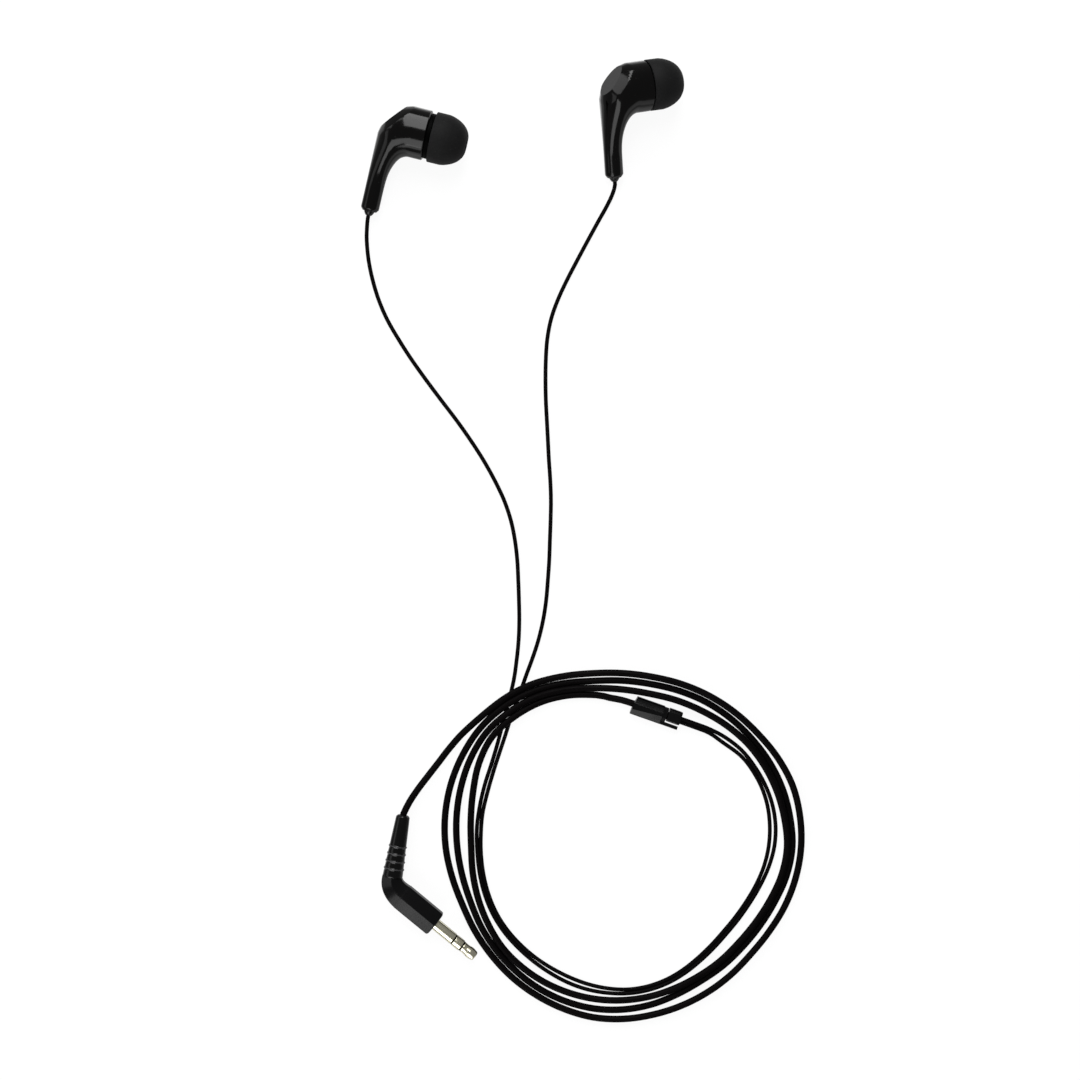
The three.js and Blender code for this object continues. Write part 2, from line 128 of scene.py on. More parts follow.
# The main cord's distance from the coil's middle, every MAIN_EVERY degrees from MAIN_START on.
COIL_RADII = [
    45.2, 48.9, 50.2, 46.9, 44.6, 45.2, 46.5, 45.9, 45.3,
    44.5, 43.8, 43.9, 45.7, 48.0, 47.9, 47.4, 46.1, 45.6,
    47.3, 50.8, 52.3, 50.7, 48.7, 47.6, 48.1, 48.5, 48.3,
    47.1, 45.6, 45.8, 47.4, 49.7, 49.8, 49.3, 48.9, 48.4,
    49.4, 52.8, 54.5, 53.8, 52.1, 50.1, 49.6, 50.3, 50.7,
    49.9, 49.2, 48.8, 50.4, 52.1, 52.8, 51.6, 51.0, 50.6,
    51.7, 54.8, 56.8,
]
COIL_RISE = 1.3  # how far the turns rise and sink over every two turns, so that neighbours can lie close
TURN_STEPS = 144  # steps in one turn while the turns are pushed apart
KEPT_STEP = 4  # every how many of those steps give a point of the cord's path
PUSH_ROUNDS, PUSH_SHARE, PUSH_SPREAD = 80, 0.3, 4
HUMP_LENGTH = 16  # from the top of a hump to its foot
EAR_CORD_STEP, MAIN_CORD_STEP = 1.6, 2.0  # between the points along a cord
MAIN_START, MAIN_END, MAIN_EVERY = 100, 1216, 20  # degrees round the coil, from the Y-split to the tail
CROWDING = 2.02  # the least distance between two turns, in the cord's radii
# The ear cord pair's distance from the coil's middle, every PAIR_EVERY degrees from PAIR_LISTED on.
PAIR_RADII = [
    42.3, 42.35, 42.5, 42.6, 42.4, 42.2, 42.2, 42.4, 42.6, 42.65, 42.3, 41.5,
    40.4, 39.5, 39.2, 39.65, 40.7, 42.2, 43.6, 44.5, 44.9, 44.7, 44.0,
]
PAIR_LISTED, PAIR_EVERY = 180, 10
PAIR_START, PAIR_END, PAIR_STEP = 184, 396, 8
PAIR_HALF = 0.53  # half the distance between the two ear cords where they lie together
PAIR_RISE = 0.32  # how much higher the outer one lies
PAIR_GAPS = [(250, 15, 0.25), (365, 15, 0.32), (405, 12, 0.1)]  # where the two ear cords part: at, over, by
LEFT_CROSSING = [
    (-4.4, -166.2), (-6.0, -172.4), (-7.5, -178.0), (-9.1, -183.3), (-11.05, -189.4), (-12.6, -196.1),
    (-13.4, -202.9),
]
RIGHT_CROSSING = [
    (-1.2, -163.8), (-3.3, -169.4), (-5.0, -174.8), (-6.8, -180.2), (-8.5, -185.5), (-10.2, -191.4),
    (-11.7, -197.9), (-12.2, -204.5),
]
# Where the ear cords run through the slider into the Y-split, in the Y-split's frame:
# middle x, y, z and half the distance between them.
PAIR_ENTRY = [
    (34.5, -2.7, 0.7, 0.75), (29, -0.95, 1.2, 0.85), (24, 0.15, 1.84, 0.56), (19.5, 0.3, 1.9, 0.53),
    (13, 0.3, 1.9, 0.53), (6, 0.3, 1.9, 0.53),
]

# The studio's own brightness: all round, well below level, and well below level towards the south-east.
WORLD_ABOVE, WORLD_BELOW, WORLD_SOUTH_EAST = 0.35, 0.9, 1.7
UP, UP_FROM_SOUTH_EAST = (0, 0, 1), (-0.4, 0.35, 1)


# ---- Frames of the sub-assemblies ----

def bud_frame(bud):
    turn = Matrix.Rotation(math.radians(bud["heading"]), 4, "Z")
    roll = Matrix.Rotation(math.radians(bud["roll"]), 4, "X")
    dip = Matrix.Rotation(math.radians(bud["dip"]), 4, "Y")
    return Matrix.Translation(bud["at"]) @ turn @ roll @ dip


def tip_frame(bud):
    lift = Matrix.Rotation(-math.radians(bud["tip_lift"]), 4, "Y")
    out = Matrix.Translation((TIP_PIVOT + bud["tip_shift"], 0, 0))
    return bud_frame(bud) @ out @ lift @ Matrix.Translation((-TIP_PIVOT, 0, 0))


SPLIT_FRAME = Matrix.Translation((*SPLIT_AT, 0)) @ Matrix.Rotation(math.radians(SPLIT_TURN), 4, "Z")
PLUG_FRAME = Matrix.Translation(PLUG_AT) @ Matrix.Rotation(math.radians(PLUG_TURN), 4, "Z")
# A lathe's own axis is X; this stands it along Y.
UPRIGHT = Matrix.Rotation(math.pi / 2, 4, "Z")


# ---- Shape helpers ----

def make_piece(name, verts, faces, material, place=Matrix(), sharp=32, bevel=0, bevel_angle=30, flat=False):
    """A mesh piece from points in millimetres, with its faces pointing out."""
    mesh = bpy.data.meshes.new(name)
    mesh.from_pydata([(place @ Vector(v)) * MM for v in verts], [], faces)
    shape = bmesh.new()
    shape.from_mesh(mesh)
    bmesh.ops.recalc_face_normals(shape, faces=shape.faces)
    shape.to_mesh(mesh)
    shape.free()
    return finish_piece(name, mesh, material, sharp, bevel, bevel_angle, flat)


def finish_piece(name, mesh, material, sharp=32, bevel=0, bevel_angle=30, flat=False):
    obj = bpy.data.objects.new(name, mesh)
    bpy.context.scene.collection.objects.link(obj)
    mesh.materials.append(material)
    if bevel:
        rounding = obj.modifiers.new("edges", "BEVEL")
        rounding.width = bevel * MM
        rounding.segments = 3
        rounding.limit_method = "ANGLE"
        rounding.angle_limit = math.radians(bevel_angle)
        rounding.harden_normals = True
    if not flat:
        mesh.shade_smooth()
        mesh.set_sharp_from_angle(angle=math.radians(sharp))
    return obj


def rounded(outline, radius, steps=3, closed=False):
    """The outline with its corners rounded off."""
    points = [np.array(p, float) for p in outline]
    count = len(points)
    result = []
    for i, corner in enumerate(points):
        if not closed and i in (0, count - 1):
            result.append(tuple(corner))
            continue
        before, after = points[i - 1] - corner, points[(i + 1) % count] - corner
        long_before, long_after = np.linalg.norm(before), np.linalg.norm(after)
        start = corner + before / long_before * min(radius, 0.45 * long_before)
        end = corner + after / long_after * min(radius, 0.45 * long_after)
        for k in range(steps + 1):
            share = k / steps
            bend = (1 - share) ** 2 * start + 2 * share * (1 - share) * corner + share**2 * end
            result.append(tuple(bend))
    return result


def lathe(profile, segments=56):
    """A body turned about X from [along, radius] points: from axis to axis, or a closed loop."""
    closed = tuple(profile[0]) == tuple(profile[-1])
    rows = profile[:-1] if closed else profile
    verts, index = [], []
    for along, radius in rows:
        if radius < 1e-6:
            index.append([len(verts)] * segments)
            verts.append((along, 0, 0))
            continue
        index.append([len(verts) + k for k in range(segments)])
        for k in range(segments):
            angle = 2 * math.pi * k / segments
            verts.append((along, radius * math.cos(angle), radius * math.sin(angle)))
    pairs = [(i, i + 1) for i in range(len(rows) - 1)]
    if closed:
        pairs.append((len(rows) - 1, 0))
    faces = []
    for i, j in pairs:
        for k in range(segments):
            m = (k + 1) % segments
            corners = [index[i][k], index[i][m], index[j][m], index[j][k]]
            face = list(dict.fromkeys(corners))
            if len(face) > 2:
                faces.append(face)
    return verts, faces


def loft(rings):
    """A skin through rings of equally many points, with a face over each end."""
    count = len(rings[0])
    verts = [p for ring in rings for p in ring]
    faces = []
    for i in range(len(rings) - 1):
        for k in range(count):
            m = (k + 1) % count
            faces.append([i * count + k, i * count + m, (i + 1) * count + m, (i + 1) * count + k])
    faces.append(list(range(count)))
    faces.append([(len(rings) - 1) * count + k for k in range(count)])
    return verts, faces


def through(points, step):
    """Points at most a step apart along a smooth curve through the given ones."""
    p = np.array(points, float)
    p = np.vstack([2 * p[0] - p[1], p, 2 * p[-1] - p[-2]])
    line = []
    for a, b, c, d in zip(p, p[1:], p[2:], p[3:]):
        count = max(1, math.ceil(np.linalg.norm(c - b) / step))
        for k in range(count):
            t = k / count
            bowed, twisted = 2 * a - 5 * b + 4 * c - d, 3 * b - a - 3 * c + d
            line.append(0.5 * (2 * b + (c - a) * t + bowed * t**2 + twisted * t**3))
    line.append(p[-2])
    return np.array(line)


def tube(path, radius, sides):
    """A round tube along a path, closed at its ends."""
    along = np.gradient(path, axis=0)
    along /= np.linalg.norm(along, axis=1)[:, None]
    across = np.cross(along, (0, 0, 1))
    across /= np.linalg.norm(across, axis=1)[:, None]
    up = np.cross(across, along)
    angles = np.linspace(0, 2 * math.pi, sides, endpoint=False)
    rings = [
        [p + radius * (math.cos(t) * a + math.sin(t) * u) for t in angles]
        for p, a, u in zip(path, across, up)
    ]
    return loft(rings)


# ---- Camera and light ----

CAMERA_AT = (0.00519, -0.11745, 0.650)
CAMERA_LENS = 73.67
LIGHT_MIDDLE = (0.0, -0.11, 0)
LIGHT_DISTANCE = 1.0
FLOOR_HALF = 3.0
FLOOR_SHADE, FLOOR_GLOW = 0.06, 0.92


def look_at(obj, target):
    obj.rotation_euler = (Vector(target) - obj.location).to_track_quat("-Z", "Y").to_euler()


def add_camera():
    data = bpy.data.cameras.new("camera")
    data.lens = CAMERA_LENS
    data.clip_start = 0.01
    camera = bpy.data.objects.new("camera", data)
    camera.location = CAMERA_AT
    bpy.context.scene.collection.objects.link(camera)
    bpy.context.scene.camera = camera


def add_softbox(name, azimuth, elevation, size, radiance):
    """A large soft light a metre from the middle of the object. Azimuth is counted from +X towards +Y."""
    middle = Vector(LIGHT_MIDDLE)
    a, e = math.radians(azimuth), math.radians(elevation)
    towards = Vector((math.cos(e) * math.cos(a), math.cos(e) * math.sin(a), math.sin(e)))
    data = bpy.data.lights.new(name, "AREA")
    data.shape = "RECTANGLE"
    data.size, data.size_y = size
    data.energy = radiance * math.pi * size[0] * size[1]
    light = bpy.data.objects.new(name, data)
    light.location = middle + LIGHT_DISTANCE * towards
    look_at(light, middle)
    light.visible_camera = False
    bpy.context.scene.collection.objects.link(light)


def add_floor():
    corners = [(-1, -1), (1, -1), (1, 1), (-1, 1)]
    mesh = bpy.data.meshes.new("floor")
    mesh.from_pydata([(x * FLOOR_HALF, y * FLOOR_HALF, 0) for x, y in corners], [], [(0, 1, 2, 3)])
    floor = bpy.data.objects.new("floor", mesh)
    material = bpy.data.materials.new("floor")
    material.use_nodes = True
    shader = material.node_tree.nodes["Principled BSDF"]
    shader.inputs["Base Color"].default_value = (FLOOR_SHADE, FLOOR_SHADE, FLOOR_SHADE, 1)
    shader.inputs["Roughness"].default_value = 0.9
    shader.inputs["Specular IOR Level"].default_value = 0.0
    shader.inputs["Emission Color"].default_value = (1, 1, 1, 1)
    shader.inputs["Emission Strength"].default_value = FLOOR_GLOW
    mesh.materials.append(material)
    bpy.context.scene.collection.objects.link(floor)
    floor.visible_glossy = False


def add_world():
    """Dim all round and pale well below level, where glossy faces see it in place of the floor."""
    world = bpy.data.worlds.new("studio")
    world.use_nodes = True
    tree = world.node_tree
    place = tree.nodes.new("ShaderNodeTexCoord")
    brightest = tree.nodes.new("ShaderNodeMath")
    brightest.operation = "MAXIMUM"
    washes = [(UP, WORLD_BELOW), (UP_FROM_SOUTH_EAST, WORLD_SOUTH_EAST)]
    for i, (axis, below) in enumerate(washes):
        height = tree.nodes.new("ShaderNodeVectorMath")
        height.operation = "DOT_PRODUCT"
        height.inputs[1].default_value = axis
        share = tree.nodes.new("ShaderNodeMapRange")
        share.inputs["From Min"].default_value = -1
        share.inputs["From Max"].default_value = 0
        ramp = tree.nodes.new("ShaderNodeValToRGB")
        # Position 0 is straight down and 1 is level.
        stops = [(0.12, 0.3 * below), (0.25, below), (0.5, below), (0.54, WORLD_ABOVE)]
        for at, _ in stops[2:]:
            ramp.color_ramp.elements.new(at)
        for stop, (at, grey) in zip(ramp.color_ramp.elements, stops):
            stop.position = at
            stop.color = (grey, grey, grey, 1)
        tree.links.new(place.outputs["Generated"], height.inputs[0])
        tree.links.new(height.outputs["Value"], share.inputs["Value"])
        tree.links.new(share.outputs["Result"], ramp.inputs["Fac"])
        tree.links.new(ramp.outputs["Color"], brightest.inputs[i])
    background = tree.nodes["Background"]
    background.inputs["Color"].default_value = (1, 1, 1, 1)
    tree.links.new(brightest.outputs["Value"], background.inputs["Strength"])
    bpy.context.scene.world = world


def add_studio():
    add_camera()
    add_floor()
    add_softbox("north_box", 89, 42, (0.38, 1.14), 11)
    add_softbox("north_west_box", 133, 30, (0.75, 0.6), 4.6)
    add_softbox("south_box", 245, 35, (0.54, 0.68), 6.2)
    add_softbox("west_box", 185, 25, (0.6, 0.4), 1.8)
    add_softbox("low_west_box", 231, 12, (0.3, 0.22), 3.5)
    add_softbox("low_south_box", 257, 12, (0.4, 0.3), 4)
    add_world()
    bpy.context.scene.view_settings.view_transform = "Standard"


add_studio()


# ---- Materials ----

def make_material(
    name, color, roughness, metallic=0.0, tone=0.15, tone_scale=60, uneven=0.05, grain=0.02,
    grain_scale=900, specular=0.5, speck=0.0, stretch=(1, 1, 1), turn=0.0, sheen=0.0,
):
    """Moulded or turned stuff: a colour that drifts, uneven gloss, fine grain and a few specks of dust.

    Scales are counts per metre. Stretch and turn lay the grain along one direction.
    """
    material = bpy.data.materials.new(name)
    material.use_nodes = True
    tree = material.node_tree
    node, link = tree.nodes.new, tree.links.new
    shader = tree.nodes["Principled BSDF"]
    shader.inputs["Metallic"].default_value = metallic
    shader.inputs["Specular IOR Level"].default_value = specular
    shader.inputs["Sheen Weight"].default_value = sheen

    place = node("ShaderNodeTexCoord")
    mapping = node("ShaderNodeMapping")
    mapping.inputs["Rotation"].default_value = (0, 0, math.radians(turn))
    mapping.inputs["Scale"].default_value = stretch
    link(place.outputs["Object"], mapping.inputs["Vector"])

    def noise(scale, detail):
        texture = node("ShaderNodeTexNoise")
        texture.inputs["Scale"].default_value = scale
        texture.inputs["Detail"].default_value = detail
        link(mapping.outputs["Vector"], texture.inputs["Vector"])
        return texture

    drift = noise(tone_scale, 4)
    ramp = node("ShaderNodeValToRGB")
    ramp.color_ramp.elements[0].position = 0.3
    ramp.color_ramp.elements[0].color = (*[c * (1 - tone) for c in color], 1)
    ramp.color_ramp.elements[1].position = 0.7
    ramp.color_ramp.elements[1].color = (*[min(1, c * (1 + tone)) for c in color], 1)
    link(drift.outputs["Fac"], ramp.inputs["Fac"])
    shade = ramp.outputs["Color"]
    if speck:
        dust = node("ShaderNodeTexVoronoi")
        dust.inputs["Scale"].default_value = 700
        link(place.outputs["Object"], dust.inputs["Vector"])
        size = node("ShaderNodeMapRange")
        size.inputs["From Min"].default_value = 0.05
        size.inputs["From Max"].default_value = 0.12
        size.inputs["To Min"].default_value = speck
        size.inputs["To Max"].default_value = 0.0
        link(dust.outputs["Distance"], size.inputs["Value"])
        mix = node("ShaderNodeMix")
        mix.data_type = "RGBA"
        mix.inputs["B"].default_value = (0.3, 0.3, 0.3, 1)
        link(size.outputs["Result"], mix.inputs["Factor"])
        link(shade, mix.inputs["A"])
        shade = mix.outputs["Result"]
    link(shade, shader.inputs["Base Color"])

    patches = noise(tone_scale * 3, 3)
    gloss = node("ShaderNodeMapRange")
    gloss.inputs["From Min"].default_value = 0.3
    gloss.inputs["From Max"].default_value = 0.7
    gloss.inputs["To Min"].default_value = max(0.02, roughness - uneven)
    gloss.inputs["To Max"].default_value = roughness + uneven
    link(patches.outputs["Fac"], gloss.inputs["Value"])
    link(gloss.outputs["Result"], shader.inputs["Roughness"])

    fine = noise(grain_scale, 5)
    bump = node("ShaderNodeBump")
    bump.inputs["Strength"].default_value = grain
    bump.inputs["Distance"].default_value = 0.0002
    link(fine.outputs["Fac"], bump.inputs["Height"])
    link(bump.outputs["Normal"], shader.inputs["Normal"])
    return material


GLOSS = make_material(
    "gloss_housing", (0.0008, 0.0007, 0.0007), 0.12, uneven=0.03, grain=0.01, grain_scale=500,
    specular=0.13, speck=0.02,
)
MATTE = make_material(
    "matte_cover", (0.0003, 0.0003, 0.0003), 0.5, grain=0.15, grain_scale=6000, specular=0.01,
)
SILICONE = make_material(
    "silicone", (0.005, 0.005, 0.0051), 0.62, tone=0.1, grain=0.12, grain_scale=5000, specular=0.04,
    sheen=0.01, speck=0.02,
)
JACKET = make_material(
    "cord_jacket", (0.0017, 0.0014, 0.0015), 0.4, tone=0.2, tone_scale=90, uneven=0.07, grain=0.06,
    grain_scale=2500, specular=0.01,
)
GRIP = make_material(
    "moulded_grip", (0.0009, 0.0009, 0.001), 0.21, uneven=0.02, grain=0.05, grain_scale=3500, specular=0.13,
)
RELIEF = make_material(
    "soft_relief", (0.0005, 0.0005, 0.0005), 0.2, uneven=0.02, grain=0.02, grain_scale=4000, specular=0.16,
)
# Painted highlight: a lighter colour on the relief's rib crests stands in for the light lines that the ribs
# catch.
RIB_HIGHLIGHT = make_material("rib_painted_highlight", (0.022, 0.022, 0.023), 0.4, grain=0.05, grain_scale=4000, specular=0.2)
NICKEL = make_material(
    "plug_metal", (0.5, 0.48, 0.37), 0.22, metallic=1, tone=0.03, uneven=0.004, grain=0.0005,
    grain_scale=900, stretch=(1, 0.3, 0.3), turn=-PLUG_TURN,
)
INSULATOR = make_material("plug_insulator", (0.001, 0.001, 0.0008), 0.4, grain=0.05, specular=0.05)
STEEL = make_material(
    "steel_parts", (0.45, 0.46, 0.47), 0.3, metallic=1, tone=0.05, grain=0.1, grain_scale=3000,
)
COPPER = make_material(
    "copper_winding", (0.62, 0.30, 0.14), 0.3, metallic=1, tone=0.1, grain=0.3, grain_scale=6000,
)
FILM = make_material("diaphragm_film", (0.55, 0.57, 0.6), 0.2, tone=0.05, grain=0.05)
BOARD = make_material("circuit_board", (0.03, 0.11, 0.05), 0.4, tone=0.15, grain=0.1)


# ---- Cords ----

def monotone(x, y, at):
    """A smooth curve through the points that never overshoots them."""
    gap, slope = np.diff(x), np.diff(y) / np.diff(x)
    lean = np.zeros(len(x))
    lean[0], lean[-1] = slope[0], slope[-1]
    for i in range(1, len(x) - 1):
        if slope[i - 1] * slope[i] > 0:
            lean[i] = 2 / (1 / slope[i - 1] + 1 / slope[i])
    i = np.clip(np.searchsorted(x, at, side="right") - 1, 0, len(x) - 2)
    t = (at - x[i]) / gap[i]
    return (
        y[i] * (1 + 2 * t) * (1 - t) ** 2
        + y[i + 1] * t**2 * (3 - 2 * t)
        + gap[i] * (lean[i] * t * (1 - t) ** 2 - lean[i + 1] * t**2 * (1 - t))
    )


def coil_place(angle, radius):
    """Points at an angle round the coil, in radians, and a radius."""
    middle_x, middle_y = COIL_CENTRE
    return np.stack([middle_x + radius * np.cos(angle), middle_y + radius * np.sin(angle)], axis=-1)


def split_place(x, y, z):
    return tuple(SPLIT_FRAME @ Vector((x, y, z)))


def laid(route, radius):
    """Route points with their height: on the surface where none is given."""
    return [(p[0], p[1], p[2] if len(p) > 2 else radius) for p in route]


def main_coil():
    """The main cord round the coil, its turns side by side and pushed apart where they crowd."""
    count = round((MAIN_END - MAIN_START) * TURN_STEPS / 360)
    degrees = MAIN_START + np.arange(count + 1) * 360 / TURN_STEPS
    angle = np.radians(degrees)
    listed = MAIN_START + MAIN_EVERY * np.arange(len(COIL_RADII))
    radius = monotone(listed, np.array(COIL_RADII), degrees)
    height = MAIN_CORD_R + COIL_RISE * (1 - np.cos(angle / 2)) / 2
    apart = np.abs(height[TURN_STEPS:] - height[:-TURN_STEPS])
    spacing = np.sqrt((CROWDING * MAIN_CORD_R) ** 2 - apart**2)
    window = 2 * PUSH_SPREAD + 1
    for _ in range(PUSH_ROUNDS):
        short = np.clip(spacing - (radius[TURN_STEPS:] - radius[:-TURN_STEPS]), 0, None)
        push = np.zeros_like(radius)
        push[TURN_STEPS:] += PUSH_SHARE * short
        push[:-TURN_STEPS] -= PUSH_SHARE * short
        padded = np.pad(push, PUSH_SPREAD, mode="edge")
        radius += np.convolve(padded, np.ones(window) / window, mode="valid")
    flat = coil_place(angle, radius)
    return np.column_stack([flat, height])


def humps_over(path, others, reach, length):
    """How far a cord rises to pass over others, in long low humps."""
    under = np.vstack(others)
    apart = np.linalg.norm(path[:, None, :2] - under[None, :, :2], axis=2)
    closest = apart.min(axis=1)
    lower = under[apart.argmin(axis=1), 2]
    clearance = np.sqrt(np.clip(reach**2 - closest**2, 0, None))
    needed = np.where(closest < reach, lower + clearance - path[:, 2], 0)
    run = np.concatenate([[0], np.cumsum(np.linalg.norm(np.diff(path[:, :2], axis=0), axis=1))])
    offset = np.abs(run[:, None] - run[None, :]) / length
    bell = np.where(offset < 1, np.cos(offset * math.pi / 2) ** 2, 0)
    return (bell * np.clip(needed, 0, None)[None, :]).max(axis=1)


def ear_cord_path(stem, route, crossing, side):
    """From inside the stem to inside the Y-split; side is 1 for the pair's outer cord, -1 for the inner."""
    degrees = np.arange(PAIR_START, PAIR_END + 1, PAIR_STEP)
    angle = np.radians(degrees)
    listed = PAIR_LISTED + PAIR_EVERY * np.arange(len(PAIR_RADII))
    radius = monotone(listed, np.array(PAIR_RADII), degrees)
    half_gap = np.full_like(angle, PAIR_HALF)
    for at, over, by in PAIR_GAPS:
        half_gap += by * np.exp(-(((np.degrees(angle) - at) / over) ** 2))
    coiled = coil_place(angle, radius + side * half_gap)
    rise = PAIR_RISE * (1 + side) / 2
    entry = [
        split_place(x, y + side * half, z + rise - PAIR_RISE / 2)
        for x, y, z, half in PAIR_ENTRY
    ]
    points = stem + laid(route, EAR_CORD_R) + laid(crossing, EAR_CORD_R)
    points += [(x, y, EAR_CORD_R + rise) for x, y in coiled] + entry
    return through(points, EAR_CORD_STEP)


def stem_points(bud):
    """Inside the stem, and the point where the cord leaves it."""
    place = bud_frame(bud)
    return [tuple(place @ Vector((STEM_X, SWING_Y + up, 0))) for up in (3, 1.2)]


def add_ear_cord(side, bud, route, crossing, place_in_pair, replaced):
    path = ear_cord_path(stem_points(bud), route, crossing, place_in_pair)
    verts, faces = tube(path, EAR_CORD_R, 12)
    cord = make_piece(f"{side}_ear_cord", verts, faces, JACKET)
    exit_point = bud_frame(bud) @ Vector((STEM_X, SWING_Y, 0))
    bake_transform(cord)
    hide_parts(*replaced)
    return cord, path, exit_point * MM


def add_main_cord(ear_paths):
    leaving = [(4, CORD_Y, CORD_LEVEL), (0, CORD_Y, CORD_LEVEL), (-3.5, 0.15, 1.7), (-7, -0.4, 1.4)]
    start = [split_place(*p) for p in leaving]
    relief = relief_frame()
    inside = [tuple(relief @ Vector((RELIEF_LENGTH - back, 0, 0))) for back in (1, 4)]
    points = start + [tuple(p) for p in main_coil()[::KEPT_STEP]]
    path = through(points + TAIL_ROUTE + inside, MAIN_CORD_STEP)
    reach = MAIN_CORD_R + EAR_CORD_R
    path[:, 2] += humps_over(path, ear_paths, reach, HUMP_LENGTH)
    verts, faces = tube(path, MAIN_CORD_R, 16)
    cord = make_piece("main_cord", verts, faces, JACKET)
    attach(cord, "root")
    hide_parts("cord_coil", "main_cord_tail", "main_cord_at_split")
    return cord, path


def relief_frame():
    """The strain relief's own frame: X runs along it from the elbow to the cord."""
    low, top = Vector((*RELIEF_LOW, 0)), Vector((*RELIEF_TOP, 0))
    turn = math.atan2(top.y - low.y, top.x - low.x)
    return PLUG_FRAME @ Matrix.Translation(low) @ Matrix.Rotation(turn, 4, "Z")


RELIEF_LENGTH = math.dist(RELIEF_LOW, RELIEF_TOP)

left_cord, left_path, left_exit = add_ear_cord(
    "left", LEFT_BUD, LEFT_ROUTE, LEFT_CROSSING, 1, ["left_cord"],
)
right_cord, right_path, right_exit = add_ear_cord(
    "right", RIGHT_BUD, RIGHT_ROUTE, RIGHT_CROSSING, -1, ["right_cord", "ear_cord_pair"],
)
main_cord, main_path = add_main_cord([left_path, right_path])

# ---- Earbuds ----

# The housing's outline from the barrel's mouth, round the elbow and down the stem:
# (inner x, inner y, outer x, outer y, half width).
HOUSING_STATIONS = [
    (BARREL_FRONT, -BARREL_R, BARREL_FRONT, BARREL_R, BARREL_R),
    (2.9, -BARREL_R, 2.9, BARREL_R, BARREL_R),
    (1.2, -7.9, 0.2, BARREL_R, BARREL_R),
    (0, -9.2, -4.5, 6.2, 7),
    (-0.8, -10.8, -7, 3, 6.2),
    (-1.4, -12.6, STEM_X - STEM_R, -2.5, 5),
    (-1.75, -14.5, STEM_X - STEM_R, -8.5, 3.9),
    (-1.9, -16.5, STEM_X - STEM_R, -14, 3.1),
    (STEM_X + STEM_R, -19, STEM_X - STEM_R, -18.5, STEM_R),
    (STEM_X + STEM_R, STEM_END + 1, STEM_X - STEM_R, STEM_END + 1, STEM_R),
    (STEM_X + 2.1, STEM_END, STEM_X - 2.1, STEM_END, 2.1),
]


def housing_rings(segments=72, steps=6):
    stations = np.array(HOUSING_STATIONS, float)
    middles = (stations[:, :2] + stations[:, 2:4]) / 2
    run = np.concatenate([[0], np.cumsum(np.linalg.norm(np.diff(middles, axis=0), axis=1))])
    spans = [np.linspace(a, b, steps, endpoint=False) for a, b in zip(run, run[1:])]
    at = np.concatenate(spans + [[run[-1]]])
    inner_x, inner_y, outer_x, outer_y, half = [monotone(run, column, at) for column in stations.T]
    angles = np.linspace(0, 2 * math.pi, segments, endpoint=False)
    share, side = (1 + np.cos(angles)) / 2, np.sin(angles)
    skin = [
        [(ix + (ox - ix) * c, iy + (oy - iy) * c, h * d) for c, d in zip(share, side)]
        for ix, iy, ox, oy, h in zip(inner_x, inner_y, outer_x, outer_y, half)
    ]
    mouth = [
        [(x, r * math.cos(t), r * math.sin(t)) for t in angles]
        for x, r in [(CAVITY_BACK, CAVITY_R), (BARREL_FRONT, CAVITY_R), (BARREL_FRONT, BARREL_R - 0.25)]
    ]
    skin[0] = [(BARREL_FRONT - 0.25, y, z) for _, y, z in skin[0]]
    channel = [
        [(STEM_X - r * math.cos(t), y, r * math.sin(t)) for t in angles]
        for y, r in [(STEM_END, CHANNEL_R), (CHANNEL_TOP, CHANNEL_R)]
    ]
    return mouth + skin + channel


def cut_facet(shape):
    """Cuts the flat back facet and slopes the band around it, most at the facet's middle height."""
    out = Vector((math.cos(FACET_ANGLE), math.sin(FACET_ANGLE), 0))
    up = Vector((out.y, -out.x, 0))
    everything = lambda: shape.verts[:] + shape.edges[:] + shape.faces[:]
    band = FACET_DEPTH - FACET_BAND
    bmesh.ops.bisect_plane(shape, geom=everything(), plane_co=out * band, plane_no=out)
    cut = bmesh.ops.bisect_plane(
        shape, geom=everything(), plane_co=out * FACET_DEPTH, plane_no=out, clear_outer=True
    )
    shape.normal_update()
    moves = []
    for vert in shape.verts:
        above = vert.co.dot(out) - band
        outside = vert.normal - vert.normal.dot(out) * out
        if above > 0 and outside.length > 0.01 and vert.co.x < 3:
            height = vert.co.dot(up)
            share = math.sqrt(max(0, 1 - (height / BAND_REACH) ** 2))
            moves.append((vert, outside.normalized() * -BAND_SLOPE * above * share))
    for vert, move in moves:
        vert.co += move
    corners = [v for v in cut["geom_cut"] if isinstance(v, bmesh.types.BMVert)]
    bmesh.ops.remove_doubles(shape, verts=corners, dist=0.12)
    rim = [edge for edge in shape.edges if edge.is_boundary]
    cap = bmesh.ops.edgeloop_fill(shape, edges=rim)["faces"]
    if len(cap) > 1:
        cap = bmesh.ops.dissolve_faces(shape, faces=cap)["region"]
    bmesh.ops.inset_individual(shape, faces=cap, thickness=FACET_INSET)


def add_housing(side, bud):
    verts, faces = loft(housing_rings())
    mesh = bpy.data.meshes.new(f"{side}_housing_shell")
    mesh.from_pydata(verts, [], faces)
    shape = bmesh.new()
    shape.from_mesh(mesh)
    bmesh.ops.recalc_face_normals(shape, faces=shape.faces)
    cut_facet(shape)
    bmesh.ops.recalc_face_normals(shape, faces=shape.faces)
    shape.transform(Matrix.Scale(MM, 4) @ bud_frame(bud))
    shape.to_mesh(mesh)
    shape.free()
    shell = finish_piece(f"{side}_housing_shell", mesh, GLOSS, sharp=24, bevel=0.16, bevel_angle=24)
    return shell


